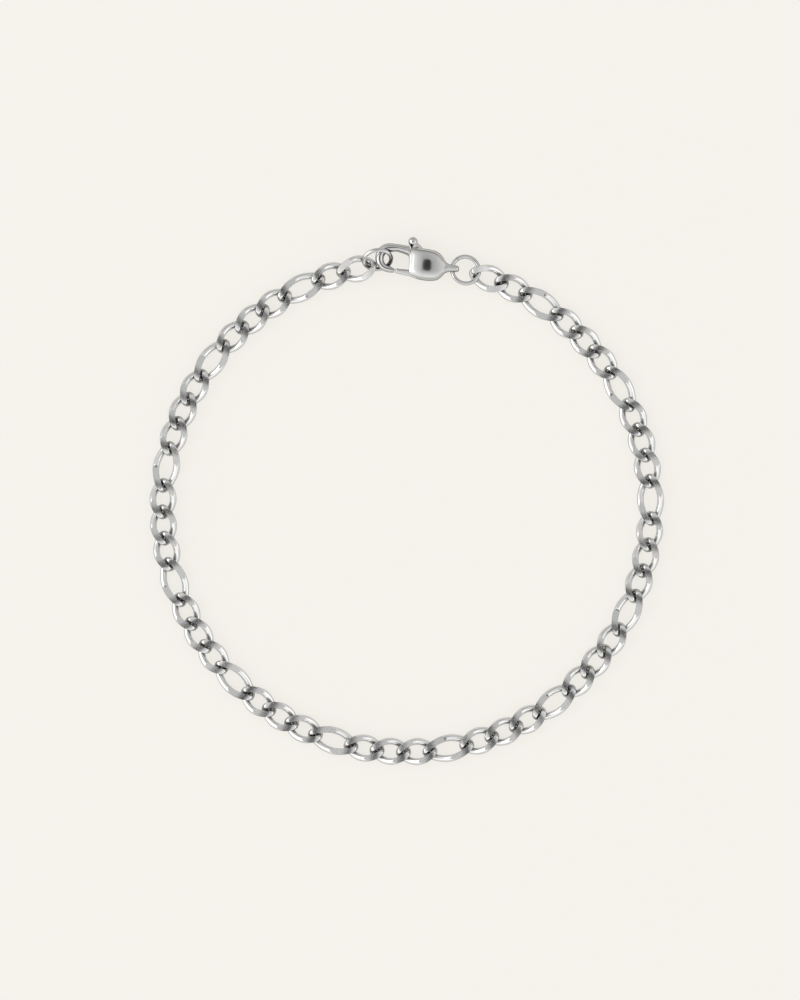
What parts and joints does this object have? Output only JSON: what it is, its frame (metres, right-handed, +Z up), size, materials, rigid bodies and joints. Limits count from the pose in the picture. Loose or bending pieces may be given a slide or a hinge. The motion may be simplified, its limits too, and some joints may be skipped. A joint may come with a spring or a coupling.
{
  "type": "link bracelet",
  "caption": "Curb link bracelet with long and short ground flat links, closed by a claw clasp with a sprung lever hooked into a jump ring.",
  "frame": {"origin": "centre of the closed loop, on the surface that the bracelet lies on", "axes": "+Z up through the wrist opening, +Y towards the clasp (which sits 3.6 degrees clockwise from +Y, seen from above), +X to the side of the clasp's tail"},
  "size_m": [0.0636, 0.0653, 0.003],
  "materials": {
    "link_steel": "polished stainless steel wire, with both faces of the chain ground flat",
    "ring_steel": "polished round stainless steel wire",
    "clasp_steel": "cast and tumble polished stainless steel"
  },
  "bodies": {
    "bracelet": {"clasp_body": "clasp_steel", "clasp_pin": "clasp_steel", "tail_ring": "ring_steel", "hook_ring": "ring_steel", "short_links": "link_steel", "long_links": "link_steel"},
    "lever": {"clasp_lever": "clasp_steel"}
  },
  "joints": [
    {"name": "lever_hinge", "type": "hinge", "parent": "bracelet", "child": "lever", "pos_m": [0.00183, 0.02908, 0.0014], "axis": [0, 0, -1], "range_deg": [0, 25], "stiffness_Nm_per_rad": 0.01, "springref_deg": -17.19}
  ]
}
